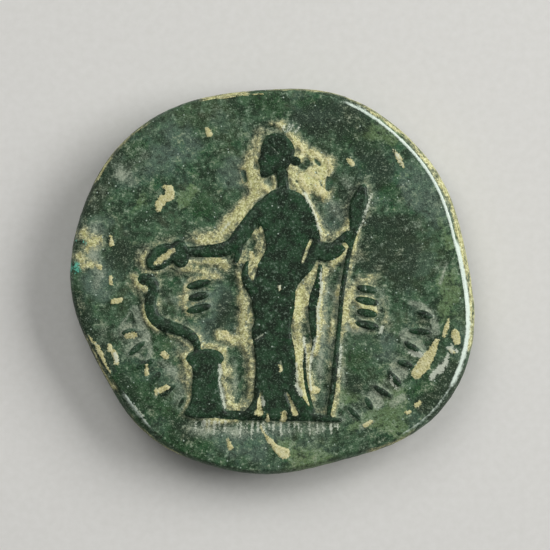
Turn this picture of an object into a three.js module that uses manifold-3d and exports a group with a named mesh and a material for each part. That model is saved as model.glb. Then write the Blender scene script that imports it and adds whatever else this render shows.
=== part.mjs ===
// A worn, struck bronze coin of the sestertius size: one solid, lying on its obverse with the reverse up.
// Millimetres. +Z runs up through the reverse, +Y points to the top of the reverse design, and the origin is
// under the middle of the flan, on the plane that the worn portrait rests on.
//
// Each face is struck in its own frame: x and y as that face is seen, z = 0 on its field and +z out of the
// metal. Raised forms are joined, cuts are taken out of them, and one flat plane of wear shaves what is left.

import * as THREE from 'three';
import { mergeVertices } from 'three/addons/utils/BufferGeometryUtils.js';
import Module from 'manifold-3d';

const wasm = await Module();
wasm.setup();

// ---------------------------------------------------------------- driving dimensions

const THICKNESS = 4.2; // over the worn relief of both faces
const RELIEF = 0.45; // from a field up to its plane of wear
const SINK = 0.3; // how far a raised form reaches down into the flan
const WALL_ROUND = 0.22; // width, seen from above, of the rounded shoulder round a raised form
const STEP = 0.5; // length of one straight stretch along an outline
const FLAN_SIDES = 84;

const REVERSE_OFF_CENTRE = [-0.11, 0.0]; // how far the reverse die was struck from the middle of the flan

const PATINA = { color: 0x2c4433, roughness: 0.5, metalness: 0.35 };

// The hammered flan is not round: on its mean radius ride lobes, each [how many, swell, direction of one in degrees].
const FLAN_RADIUS = 15.97;
const FLAN_LOBES = [
  [1, 0.1, 168], [2, 0.46, 157], [3, 0.11, 85], [4, 0.38, 58], [5, 0.13, 41], [6, 0.04, 12], [7, 0.09, 23],
  [8, 0.04, 43], [9, 0.06, 29],
];

// The edge from the reverse down to the obverse: share of the shoulder's width left, share of the height.
const EDGE_PROFILE = [[1.0, 1.0], [0.5, 0.93], [0.14, 0.77], [0.0, 0.5], [0.14, 0.23], [0.5, 0.07], [1.0, 0.0]];

// ---------------------------------------------------------------- curves and solids

const radians = THREE.MathUtils.degToRad;

/** A smooth line through points [x, y, ...more], sampled about every STEP, as arrays with the same entries. */
function smooth(points, closed, step = STEP) {
  const line = (of) => new THREE.CatmullRomCurve3(points.map(of), closed, 'centripetal');
  const path = line(([x, y]) => new THREE.Vector3(x, y, 0));
  const fewest = points.length - (closed ? 0 : 1);
  const count = Math.max(fewest, Math.ceil(path.getLength() / step));
  const width = new THREE.SplineCurve(points.map(([, , w = 0], i) => new THREE.Vector2(i, w)));
  const samples = [];
  for (let i = 0; i < (closed ? count : count + 1); i++) {
    const t = path.getUtoTmapping(i / count);
    const { x, y } = path.getPoint(t);
    samples.push([x, y, width.getPoint(t).y]);
  }
  return samples;
}

/** A closed surface over a stack of rings with equally many points, closed at both ends by a fan. */
function loft(rings) {
  const sides = rings[0].length;
  const positions = rings.flat().flatMap((p) => p.toArray());
  const index = [];
  for (let r = 0; r + 1 < rings.length; r++) {
    for (let s = 0; s < sides; s++) {
      const a = r * sides + s;
      const b = r * sides + ((s + 1) % sides);
      index.push(a, b, b + sides, a, b + sides, a + sides);
    }
  }
  [rings[0], rings.at(-1)].forEach((ring, end) => {
    const centre = ring.reduce((sum, p) => sum.add(p), new THREE.Vector3()).divideScalar(sides);
    const hub = positions.length / 3;
    positions.push(...centre.toArray());
    const start = end * (rings.length - 1) * sides;
    for (let s = 0; s < sides; s++) {
      const pair = [start + s, start + ((s + 1) % sides)];
      index.push(hub, ...(end ? pair : pair.reverse()));
    }
  });
  const geometry = new THREE.BufferGeometry();
  geometry.setAttribute('position', new THREE.Float32BufferAttribute(positions, 3));
  return geometry.setIndex(index);
}

/** A three.js geometry as a manifold-3d solid, turned to face out. */
function solidOf(geometry) {
  const bare = new THREE.BufferGeometry().setAttribute('position', geometry.getAttribute('position'));
  if (geometry.index) bare.setIndex(geometry.index);
  const merged = mergeVertices(bare, 1e-4);
  const triVerts = new Uint32Array(merged.index.array);
  const build = () =>
    new wasm.Manifold(new wasm.Mesh({ numProp: 3, vertProperties: merged.attributes.position.array, triVerts }));
  const made = build();
  if (made.volume() > 0) return made;
  triVerts.reverse();
  return build();
}

function geometryOf(solid) {
  const mesh = solid.getMesh();
  const geometry = new THREE.BufferGeometry();
  geometry.setAttribute('position', new THREE.Float32BufferAttribute(mesh.vertProperties, 3));
  return geometry.setIndex([...mesh.triVerts]);
}

const join = (solids) => solids.reduce((sum, solid) => sum.add(solid));

/** A raised form with a flat top and rounded shoulders, over a closed outline of [x, y]. */
function pad(outline, height = RELIEF, round = WALL_ROUND, step = STEP) {
  const shape = new THREE.Shape(smooth(outline, true, step).map(([x, y]) => new THREE.Vector2(x, y)));
  const shoulder = 0.8 * height;
  const geometry = new THREE.ExtrudeGeometry(shape, {
    depth: SINK,
    bevelThickness: shoulder,
    bevelSize: round,
    bevelOffset: -round,
    bevelSegments: 2,
  });
  return solidOf(geometry.translate(0, 0, height - shoulder - SINK));
}

/** An outline of [x, y] from rows of [y, left, right], read from the top down. */
function outlineOf(rows) {
  const left = rows.map(([y, x]) => [x, y]);
  const right = rows.map(([y, , x]) => [x, y]).reverse();
  return [...left, ...right];
}

function ellipse([x, y], across, up, turn = 0, sides = 14) {
  const angle = radians(turn);
  return Array.from({ length: sides }, (_, i) => {
    const t = (i / sides) * 2 * Math.PI;
    const [a, b] = [across * Math.cos(t), up * Math.sin(t)];
    return [x + a * Math.cos(angle) - b * Math.sin(angle), y + a * Math.sin(angle) + b * Math.cos(angle)];
  });
}

// Cross-sections of a line of relief: share of the half width, share of the height (or depth).
const ROUND_SECTION = [[1, -1], [1, 0], [0.84, 0.6], [0.45, 0.93], [-0.45, 0.93], [-0.84, 0.6], [-1, 0], [-1, -1]];
const WORN_SECTION = [[1, -1], [1, 0], [0.62, 1], [-0.62, 1], [-1, 0], [-1, -1]];
const CUT_SECTION = [[1, 1], [0, -1], [-1, 1]];

const ROUND_END = [[0.5, 0.78], [0.85, 0.35]]; // how far past the last point, in half widths, and share of width
const SHORT_END = [[0.6, 0.4]];

/** Sweeps a section along a line of [x, y, half width], closing both ends. lift maps a section's height to z. */
function sweep(points, section, lift, ends, step) {
  const line = smooth(points, false, step);
  const heading = line.map(([x, y], i) => {
    const [x0, y0] = line[Math.max(0, i - 1)];
    const [x1, y1] = line[Math.min(line.length - 1, i + 1)];
    return Math.atan2(y1 - y0, x1 - x0);
  });
  const ring = (i, ahead, share) => {
    const [x, y, half] = line[i];
    const [c, s] = [Math.cos(heading[i]), Math.sin(heading[i])];
    return section.map(([across, up]) => {
      const side = across * half * share;
      return new THREE.Vector3(x + c * ahead * half - s * side, y + s * ahead * half + c * side, lift(up, share));
    });
  };
  const last = line.length - 1;
  return solidOf(loft([
    ...ends.toReversed().map(([ahead, share]) => ring(0, -ahead, share)),
    ...line.map((_, i) => ring(i, 0, 1)),
    ...ends.map(([ahead, share]) => ring(last, ahead, share)),
  ]));
}

/** A raised line of relief. */
function ridge(points, height = RELIEF, section = WORN_SECTION, step = STEP) {
  const endDrop = 0.6;
  const lift = (up, share) => (up < 0 ? -SINK : up * height * (1 - endDrop + endDrop * share));
  return sweep(points, section, lift, ROUND_END, step);
}

/** A cut, V-shaped, from the plane of wear down to depth below it. */
function cut(points, depth, step = STEP) {
  const above = 0.05;
  const lift = (up, share) => (up > 0 ? RELIEF + above : RELIEF - depth * share);
  return sweep(points, CUT_SECTION, lift, SHORT_END, step);
}

/** A hollow with steep walls, over a closed outline, right through a raised form to its field. */
function hollow(outline) {
  const shape = new THREE.Shape(smooth(outline, true).map(([x, y]) => new THREE.Vector2(x, y)));
  const depth = RELIEF + 2 * SINK;
  const geometry = new THREE.ExtrudeGeometry(shape, { depth, bevelEnabled: false });
  return solidOf(geometry.translate(0, 0, -1.5 * SINK));
}

/** One face's relief: raised forms less their cuts, shaved by the plane of wear. */
function strike({ raised, cuts }) {
  const reach = 2.5 * FLAN_RADIUS;
  const below = new THREE.BoxGeometry(reach, reach, RELIEF + 2 * SINK);
  below.translate(0, 0, RELIEF / 2 - SINK);
  return join(raised).subtract(join(cuts)).intersect(solidOf(below));
}

// ---------------------------------------------------------------- the flan

/** Distance from the middle of the flan to its edge. */
function edgeRadius(angle) {
  const swell = ([lobes, size, direction]) => size * Math.cos(lobes * (angle - radians(direction)));
  return FLAN_RADIUS + FLAN_LOBES.map(swell).reduce((sum, part) => sum + part);
}

/** Width of the rolled edge seen from above: broad to the right and at the lower left, narrow at the top. */
function shoulderWidth(angle) {
  const [right, lowerLeft, spread] = [radians(-5), radians(221), radians(14)];
  const offLowerLeft = Math.acos(Math.cos(angle - lowerLeft)) / spread;
  return 0.36 + 0.42 * Math.max(0, Math.cos(angle - right)) + 0.55 * Math.exp(-(offLowerLeft ** 2));
}

function flan() {
  const thickness = THICKNESS - 2 * RELIEF;
  const angles = Array.from({ length: FLAN_SIDES }, (_, i) => (i / FLAN_SIDES) * 2 * Math.PI);
  const rings = EDGE_PROFILE.map(([share, height]) =>
    angles.map((angle) => {
      const radius = edgeRadius(angle) - share * shoulderWidth(angle);
      return new THREE.Vector3(radius * Math.cos(angle), radius * Math.sin(angle), RELIEF + height * thickness);
    }),
  );
  return solidOf(loft(rings));
}

// ---------------------------------------------------------------- inscriptions, as strokes that are no letters

/** One worn stroke: a low mound, longer than it is wide. */
function stroke([x, y], angle, half, height, halfWidth = 0.36) {
  const mound = new THREE.SphereGeometry(1, 8, 4).rotateX(Math.PI / 2).scale(half, halfWidth, height);
  return solidOf(mound.rotateZ(angle).translate(x, y, 0));
}

/** A row of strokes along an arc, leaning to and fro, whose height runs from the first to the last. */
function legend({ from, to, radius, pitch, heights: [first, last], half = 1.15 }) {
  const count = Math.round((radians(Math.abs(to - from)) * radius) / pitch);
  return Array.from({ length: count }, (_, i) => {
    const share = (i + 0.5) / count;
    const angle = radians(from + (to - from) * share);
    const lean = radians(i % 2 ? 14 : -9);
    const reach = i % 3 ? half : 0.75 * half;
    const height = first + (last - first) * share;
    return stroke([radius * Math.cos(angle), radius * Math.sin(angle)], angle + lean, reach, height);
  });
}

/** Short slanting strokes, one above the other, in the open field. */
function fieldMark({ centre: [x, y], count, pitch, half, lean, height }) {
  return Array.from({ length: count }, (_, i) => {
    const up = (i - (count - 1) / 2) * pitch;
    return stroke([x, y + up], radians(lean), half * (i % 2 ? 0.86 : 1), height, 0.44 * pitch);
  });
}

// ---------------------------------------------------------------- reverse: goddess feeding a serpent at an altar

const HEAD = { centre: [0.22, 10.02], width: 3.6, height: 4.2 };

// Rows of [y, left, right] down the long dress and mantle, from the neck to the hem.
const DRESS = [
  [7.4, 0.1, 1.25], [6.9, -0.7, 2.35], [6.25, -1.25, 2.85], [5.4, -1.4, 3.25], [4.4, -1.3, 3.55],
  [3.3, -1.4, 3.8], [2.35, -1.9, 3.65], [1.55, -2.3, 3.4], [0.8, -2.6, 3.0], [0.1, -2.6, 2.3],
  [-0.55, -2.35, 1.85], [-1.35, -1.85, 1.75], [-2.1, -1.8, 1.7], [-3.1, -1.55, 1.5], [-3.9, -1.85, 1.4],
  [-4.5, -1.75, 1.5], [-5.5, -1.6, 1.7], [-6.7, -1.5, 1.8], [-8.45, -1.6, 1.9], [-9.35, -1.65, 2.45],
  [-10.05, -2.1, 2.9], [-10.7, -2.6, 3.1],
];

const ALTAR = [
  [-5.4, -5.95, -4.75], [-5.6, -6.6, -4.25], [-6.0, -7.05, -3.95], [-6.4, -7.05, -3.95], [-6.7, -6.65, -4.25],
  [-7.4, -6.5, -4.2], [-8.5, -6.6, -4.25], [-9.35, -6.6, -4.05], [-10.05, -6.9, -3.9], [-10.7, -7.2, -3.7],
];

/** The head in profile to the left: a plain face on even proportions, hair drawn back to a bun, a low diadem. */
function goddessHead() {
  const { centre: [x, y], width, height } = HEAD;
  const at = ([across, up, ...half]) => [x + across * width, y + up * height, ...half];
  const face = [
    [-0.32, 0.25], [-0.37, 0.1], [-0.355, 0.02], [-0.44, -0.11], [-0.38, -0.15], [-0.395, -0.23], [-0.365, -0.29],
    [-0.375, -0.37], [-0.3, -0.43], [-0.1, -0.37],
  ];
  const hair = [
    [0.04, -0.3], [0.24, -0.24], [0.37, -0.06], [0.41, 0.12], [0.32, 0.3], [0.14, 0.42], [-0.1, 0.43], [-0.24, 0.38],
  ];
  const diadem = [[-0.24, 0.32, 0.07], [-0.05, 0.12, 0.08], [0.14, -0.02, 0.07], [0.33, -0.1, 0.06]];
  const parting = [[0.0, 0.38, 0.05], [0.2, 0.18, 0.06], [0.38, 0.04, 0.05]];
  const neck = [[0.62, 8.7, 0.6], [0.72, 7.9, 0.54], [0.78, 7.1, 0.64]];
  return {
    raised: [
      pad([...face, ...hair].map(at), RELIEF, 0.18, 0.3),
      pad(ellipse(at([0.42, -0.1]), 0.46, 0.42, -20, 10), 0.38, 0.14),
      ridge(neck, 0.4),
    ],
    cuts: [cut(diadem.map(at), 0.14), cut(parting.map(at), 0.1)],
  };
}

function pouringArm() {
  const arm = [
    [-0.9, 6.0, 0.62], [-1.75, 4.9, 0.68], [-2.6, 3.7, 0.74], [-3.3, 2.9, 0.66], [-4.2, 2.5, 0.64],
    [-5.25, 2.42, 0.58], [-6.2, 2.38, 0.5], [-6.85, 2.35, 0.46],
  ];
  const sleeve = [[-2.75, 3.3, 0.42], [-2.85, 2.3, 0.36], [-3.05, 1.6, 0.26]];
  return {
    raised: [
      ridge(arm, 0.42, ROUND_SECTION),
      ridge(sleeve, 0.34),
      pad(ellipse([-7.5, 2.2], 0.82, 1.18, 8), 0.42, 0.2),
      pad(ellipse([-9.0, 1.95], 1.42, 0.94, 36, 16), 0.36, 0.18),
    ],
    cuts: [hollow([[-9.35, 1.35], [-8.0, 2.3], [-7.95, 2.55], [-8.3, 2.5], [-9.4, 1.7], [-9.55, 1.45]])],
  };
}

function serpent() {
  const body = [
    [-10.4, 0.2, 0.56], [-9.92, 0.12, 0.6], [-9.56, -0.5, 0.52], [-9.8, -1.3, 0.51], [-9.86, -2.1, 0.54],
    [-9.56, -2.86, 0.57], [-8.95, -3.4, 0.58], [-8.14, -3.68, 0.56], [-7.24, -3.98, 0.52], [-6.54, -4.38, 0.47],
    [-6.17, -4.95, 0.38], [-6.1, -5.5, 0.32],
  ];
  const jaws = [[-11.0, 0.2, 0.1], [-10.42, 0.22, 0.06]];
  return { raised: [ridge(body, 0.36, ROUND_SECTION)], cuts: [cut(jaws, RELIEF)] };
}

function sceptreArm() {
  const forearm = [
    [3.1, 2.55, 0.85], [4.1, 2.35, 0.86], [4.85, 2.5, 0.74], [5.4, 3.0, 0.64], [5.95, 3.65, 0.5],
  ];
  const sceptre = [
    [7.1, 7.4, 0.44], [6.92, 6.6, 0.78], [6.72, 5.85, 0.84], [6.58, 5.1, 0.72], [6.45, 4.4, 0.48], [6.25, 3.4, 0.32],
    [6.0, 2.3, 0.25], [5.75, 0.9, 0.25], [5.45, -0.9, 0.23], [5.3, -2.7, 0.23], [5.1, -4.7, 0.24],
    [4.9, -6.7, 0.28], [4.7, -8.7, 0.27], [4.4, -10.4, 0.24], [4.35, -11.0, 0.22],
  ];
  const fall = [
    [3.7, 1.2, 0.24], [3.6, 0.2, 0.3], [3.3, -1.0, 0.44], [3.1, -1.9, 0.42], [3.1, -2.8, 0.38], [3.15, -3.6, 0.36],
    [3.2, -4.5, 0.24], [3.1, -5.5, 0.14],
  ];
  const hem = [[2.5, -5.2, 0.12], [2.45, -6.6, 0.15], [2.55, -8.0, 0.17], [2.8, -9.2, 0.19], [3.15, -10.4, 0.2]];
  return {
    raised: [
      ridge(forearm, 0.42, ROUND_SECTION),
      ridge(sceptre, 0.34, WORN_SECTION, 0.6),
      ridge(fall, 0.36),
      ridge(hem, 0.3, WORN_SECTION, 0.6),
    ],
    cuts: [hollow([[5.3, 3.1], [5.75, 3.1], [6.0, 2.6], [5.85, 2.45], [5.6, 2.85]])],
  };
}

function goddess() {
  const sleeveGap = [
    [-1.05, 4.5], [-0.75, 3.6], [-0.6, 2.95], [-0.85, 2.1], [-1.25, 1.5], [-1.4, 0.8], [-1.7, 0.0], [-2.0, 0.5],
    [-2.05, 1.1], [-1.9, 1.75], [-2.3, 1.6], [-2.75, 0.95], [-2.75, 1.5], [-2.2, 2.45], [-1.6, 3.2],
  ];
  const folds = [
    [[3.0, 3.35, 0.14], [2.65, 2.5, 0.2], [2.3, 1.5, 0.15]],
    [[-1.6, 4.4, 0.07], [-1.6, 3.4, 0.1]],
    [[-1.6, -4.7, 0.12], [-0.8, -4.2, 0.08]],
    [[-1.0, -8.7, 0.06], [-1.05, -9.6, 0.14], [-1.1, -10.4, 0.28]],
    [[1.0, -8.8, 0.07], [1.3, -9.6, 0.15], [1.7, -10.4, 0.08]],
    [[0.55, -6.3, 0.06], [0.6, -6.9, 0.2]],
    [[0.85, -10.55, 0.28], [0.75, -11.0, 0.2]],
  ];
  const depths = [0.4, 0.3, 0.3, 0.45, 0.4, 0.25, 0.4];
  return {
    raised: [pad(outlineOf(DRESS))],
    cuts: [hollow(sleeveGap), ...folds.map((fold, i) => cut(fold, depths[i]))],
  };
}

function reverse() {
  const ground = [
    [-5.6, -10.55, 0.3], [-3.9, -10.65, 0.42], [-1.1, -10.75, 0.46], [2.1, -10.8, 0.44], [4.1, -10.95, 0.32],
    [5.3, -11.1, 0.2],
  ];
  const parts = [goddess(), goddessHead(), pouringArm(), serpent(), sceptreArm()];
  return strike({
    raised: [
      ...parts.flatMap(({ raised }) => raised),
      pad(outlineOf(ALTAR), 0.4, 0.2),
      ridge(ground, 0.3),
      ...fieldMark({ centre: [-5.99, -1.2], count: 3, pitch: 0.97, half: 1.22, lean: 14, height: 0.34 }),
      ...fieldMark({ centre: [7.45, -2.05], count: 4, pitch: 0.95, half: 1.2, lean: -12, height: 0.32 }),
      ...legend({ from: -9, to: -62, radius: 12.35, pitch: 1.35, heights: [0.3, 0.12] }),
      ...legend({ from: 196, to: 236, radius: 12.2, pitch: 1.4, heights: [0.24, 0.1] }),
    ],
    cuts: parts.flatMap(({ cuts }) => cuts),
  });
}

// ---------------------------------------------------------------- obverse: a plain laurelled head to the right

const PORTRAIT = { centre: [0.2, 3.4], size: 13.2 }; // one size is the height from chin to crown
const FACE_HEIGHT = 0.37;

// The head, from the brow round by the face, throat and cut of the bust to the crown, in sizes.
const PROFILE = [
  [0.33, 0.38], [0.385, 0.25], [0.395, 0.14], [0.375, 0.06], [0.415, -0.02], [0.47, -0.11], [0.455, -0.135],
  [0.4, -0.15], [0.392, -0.18], [0.415, -0.21], [0.392, -0.24], [0.405, -0.27], [0.372, -0.31], [0.39, -0.38],
  [0.37, -0.45], [0.3, -0.49], [0.2, -0.465], [0.07, -0.4], [0.04, -0.5], [0.06, -0.64], [0.11, -0.76],
  [0.2, -0.87], [0.02, -0.96], [-0.18, -0.98], [-0.36, -0.9], [-0.33, -0.7], [-0.3, -0.5], [-0.31, -0.3],
  [-0.39, -0.13], [-0.44, 0.05], [-0.43, 0.22], [-0.35, 0.38], [-0.19, 0.48], [0.0, 0.51], [0.2, 0.48],
];
const HAIR = [
  [0.32, 0.4], [0.3, 0.27], [0.2, 0.2], [0.1, 0.12], [0.07, -0.02], [0.03, -0.09], [-0.06, -0.14], [-0.1, -0.28],
  [-0.2, -0.4], [-0.3, -0.42], [-0.33, -0.28], [-0.4, -0.13], [-0.45, 0.05], [-0.44, 0.23], [-0.36, 0.39],
  [-0.19, 0.49], [0.0, 0.52], [0.2, 0.49],
];

/** Where the wreath's stem runs over the hair, from the brow to the nape. */
const wreathAt = (t) => [0.3 - 0.7 * t, 0.31 + 0.06 * Math.sin(Math.PI * t) - 0.36 * t];

function obverse() {
  const { centre: [x, y], size } = PORTRAIT;
  const at = ([across, up, ...half]) => [x + across * size, y + up * size, ...half];
  const leafPairs = 6;
  const leaves = Array.from({ length: leafPairs * 2 }, (_, i) => {
    const t = (Math.floor(i / 2) + 0.6) / leafPairs;
    const side = i % 2 ? 1 : -1;
    const [stemX, stemY] = wreathAt(t);
    return [[stemX, stemY, 0.12], [stemX + 0.07, stemY + side * 0.07, 0.16], [stemX + 0.09, stemY + side * 0.1, 0.1]];
  });
  const locks = Array.from({ length: 8 }, (_, i) => {
    const angle = radians(62 + i * 19);
    const [c, s] = [Math.cos(angle), Math.sin(angle)];
    return [[0.32 * c + 0.02, 0.16 + 0.25 * s, 0.12], [0.4 * c, 0.12 + 0.34 * s, 0.1]];
  });
  const waves = [-0.02, -0.12, -0.22, -0.31].map((up) => [
    [-0.12, up, 0.1], [-0.22, up - 0.03, 0.14], [-0.32, up + 0.01, 0.1],
  ]);
  const eye = [[[0.345, 0.045, 0.1], [0.28, 0.075, 0.14], [0.22, 0.04, 0.1]], [[0.33, 0.03, 0.1], [0.24, 0.025, 0.1]]];
  const brow = [[0.37, 0.11, 0.1], [0.29, 0.135, 0.14], [0.2, 0.1, 0.1]];
  const mouth = [[0.4, -0.245, 0.1], [0.35, -0.245, 0.13], [0.31, -0.26, 0.08]];
  const nostril = [[0.43, -0.12, 0.08], [0.385, -0.11, 0.13], [0.385, -0.07, 0.08]];
  const ear = [[0.05, -0.01, 0.12], [-0.03, 0.0, 0.15], [-0.04, -0.08, 0.15], [0.0, -0.14, 0.12]];
  const jaw = [[0.2, -0.44, 0.1], [0.08, -0.36, 0.16], [0.0, -0.22, 0.12]];
  const neck = [[-0.02, -0.5, 0.1], [-0.06, -0.66, 0.14], [-0.04, -0.8, 0.08]];
  const ties = [
    [[-0.4, -0.06, 0.3], [-0.47, -0.2, 0.26], [-0.44, -0.36, 0.24], [-0.5, -0.5, 0.16]],
    [[-0.42, -0.04, 0.28], [-0.54, -0.12, 0.24], [-0.57, -0.28, 0.16]],
  ];
  const lettering = { radius: 12.95, pitch: 1.75, heights: [1.15 * RELIEF, 1.15 * RELIEF], half: 1.0 };

  return strike({
    raised: [
      pad(PROFILE.map(at), FACE_HEIGHT, 0.3, 0.65),
      pad(HAIR.map(at), RELIEF, 0.16, 0.75),
      ...ties.map((tie) => ridge(tie.map(at), 0.3, WORN_SECTION, 0.9)),
      ...legend({ ...lettering, from: 8, to: 80 }),
      ...legend({ ...lettering, from: 102, to: 172 }),
    ],
    cuts: [
      ...[...leaves, ...locks, ...waves].map((line) => cut(line.map(at), 0.22, 0.8)),
      ...[...eye, brow, mouth, nostril, ear, jaw, neck].map((line) => cut(line.map(at), 0.24, 0.6)),
    ],
  });
}

// ---------------------------------------------------------------- the coin

/** Turns a face's own frame into the coin's: the reverse is lifted, the obverse is turned over about Y. */
function placed(face, matrix) {
  return solidOf(geometryOf(face).applyMatrix4(matrix));
}

const reverseUp = new THREE.Matrix4().makeTranslation(...REVERSE_OFF_CENTRE, THICKNESS - RELIEF);
const obverseDown = new THREE.Matrix4().makeRotationY(Math.PI).setPosition(0, 0, RELIEF);
const struck = join([flan(), placed(reverse(), reverseUp), placed(obverse(), obverseDown)]);

const geometry = geometryOf(struck);
geometry.computeBoundingBox();
const middle = geometry.boundingBox.getCenter(new THREE.Vector3());
geometry.translate(-middle.x, -middle.y, 0);

const coin = new THREE.Mesh(geometry, new THREE.MeshStandardMaterial(PATINA));
coin.name = 'coin';

const part = new THREE.Group();
part.add(coin);

export default part;
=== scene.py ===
"""A worn Roman bronze coin that lies on its obverse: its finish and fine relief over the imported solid.

The coin is one piece. Its form is read off the solid by rays, softened as wear softens it, and given the
uneven field, the packed earth and the chipped edge that a digging leaves. Lengths are millimetres in the
part's own frame, with x and y as the reverse is seen, until they become vertices.
"""

import math

import bpy
import numpy as np
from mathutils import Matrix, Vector
from mathutils.bvhtree import BVHTree


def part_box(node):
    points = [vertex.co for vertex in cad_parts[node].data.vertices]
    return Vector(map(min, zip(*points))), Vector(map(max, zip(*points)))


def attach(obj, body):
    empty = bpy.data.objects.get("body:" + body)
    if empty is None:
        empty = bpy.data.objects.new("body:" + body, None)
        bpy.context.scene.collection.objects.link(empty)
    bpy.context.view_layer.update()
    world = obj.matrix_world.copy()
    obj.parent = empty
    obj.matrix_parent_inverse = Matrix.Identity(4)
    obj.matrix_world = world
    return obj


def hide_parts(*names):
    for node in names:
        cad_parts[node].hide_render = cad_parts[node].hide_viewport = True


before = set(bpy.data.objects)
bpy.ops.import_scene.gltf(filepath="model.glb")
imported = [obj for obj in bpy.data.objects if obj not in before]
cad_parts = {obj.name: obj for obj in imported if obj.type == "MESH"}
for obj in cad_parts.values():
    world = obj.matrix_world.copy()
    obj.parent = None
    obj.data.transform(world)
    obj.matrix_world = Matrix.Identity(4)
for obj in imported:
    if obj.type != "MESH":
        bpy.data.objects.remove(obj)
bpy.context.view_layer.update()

MM = 0.001
SOLID = "coin"
BODY = "root"

# ---------------------------------------------------------------- sizes, in millimetres

LOW, HIGH = (np.array(corner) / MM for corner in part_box(SOLID))
RELIEF = 0.45  # from a field up to its plane of wear, on either face
REVERSE_FIELD = HIGH[2] - RELIEF
OBVERSE_FIELD = LOW[2] + RELIEF

CELL = 0.06  # spacing of the grid that the faces are worked on
MARGIN = 0.6  # grid beyond the edge
REVERSE_RINGS = 142  # rings of vertices from the middle to the shoulder; ring k has six times k
OBVERSE_RINGS = 96
EDGE_BANDS = 11
SHOULDER_START = 0.03  # below a field, where the edge takes over from the face

EARTH_SLOPE = 0.2  # rise over run of the earth heaped against the relief
EARTH_REACH = 1.0  # how far from a wall its earth and powder spread
GROOVE_REACH = 0.25  # how far from a groove in the relief the height is taken that it lies below
HOLLOW_REACH = 0.42  # how far around a point the ground that stands over it counts
HOLLOW_FULL = 0.1  # mean height of that ground from which earth stays in the corner
REVERSE_BANK = 0.94 * RELIEF  # how high the earth may be heaped on each face
OBVERSE_BANK = 0.9 * RELIEF
CRUMB_HEIGHT = 0.02
CLOD_HEIGHT = 0.06
CRUST_HEIGHT = 0.06
CRUST_OVER_TOPS = 0.03  # how far a crust may stand over the plane of wear
PIT_DEPTH = 0.05
KNOCK_DEPTH = 0.02  # of the hammered edge
EDGE_SOURCE = 0.965  # share of the radius at which the edge takes over the face's measures
EDGE_EARTH_START = 0.95  # how strong a place of EDGE_EARTH has to be to count as packed earth

SAND_GRAIN = 0.1
SPECK_SPACING = 0.5
PAPER_TOOTH = 0.6

# ---------------------------------------------------------------- where the earth and the crusts lie
# Each is a line of points (x, y, half width), or one point for a round spot. A half width of zero or less
# leaves only the ragged fringe.

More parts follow.
